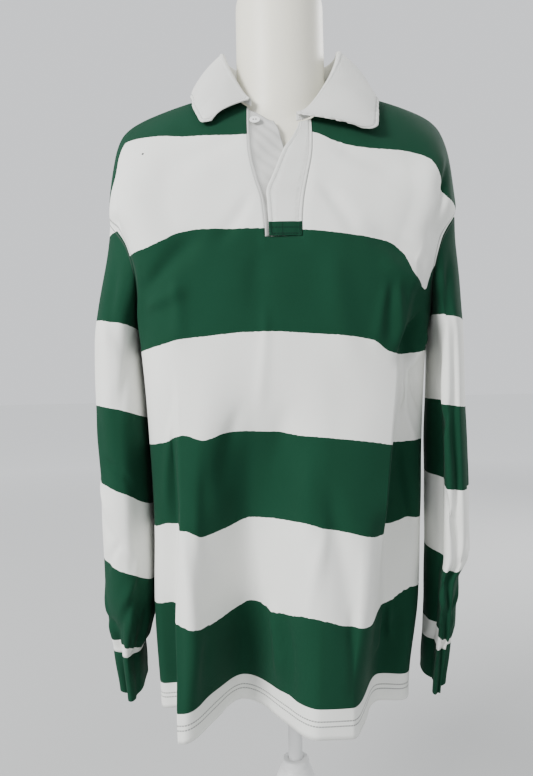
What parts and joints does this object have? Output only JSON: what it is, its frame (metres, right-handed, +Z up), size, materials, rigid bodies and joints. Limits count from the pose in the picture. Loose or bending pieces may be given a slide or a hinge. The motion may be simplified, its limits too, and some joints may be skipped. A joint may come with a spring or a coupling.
{
  "type": "long-sleeved rugby shirt on a limbless dress form with a stand",
  "caption": "Loose striped rugby shirt with an open turned-down collar and placket, hanging on a limbless torso form with a neck, pole and round base.",
  "frame": {"origin": "centre of the round base's underside, on the floor", "axes": "+Z up along the pole; the shirt's front faces -Y; +X is to the right of someone who faces the front"},
  "size_m": [0.4982, 0.37, 1.252],
  "materials": {
    "green_cloth": "matte",
    "white_twill": "matte",
    "button_white": "polished",
    "form_cream": "satin",
    "stand_white": "satin"
  },
  "bodies": {
    "root": {"front_panel": "green_cloth", "back_panel": "green_cloth", "sleeve_left": "green_cloth", "sleeve_right": "green_cloth", "cuff_left": "green_cloth", "cuff_right": "green_cloth", "collar": "white_twill", "placket_over": "white_twill", "placket_under": "white_twill", "neck_button": "button_white", "form": "form_cream", "pole": "stand_white", "hub": "stand_white", "column": "stand_white", "base": "stand_white"}
  },
  "joints": []
}
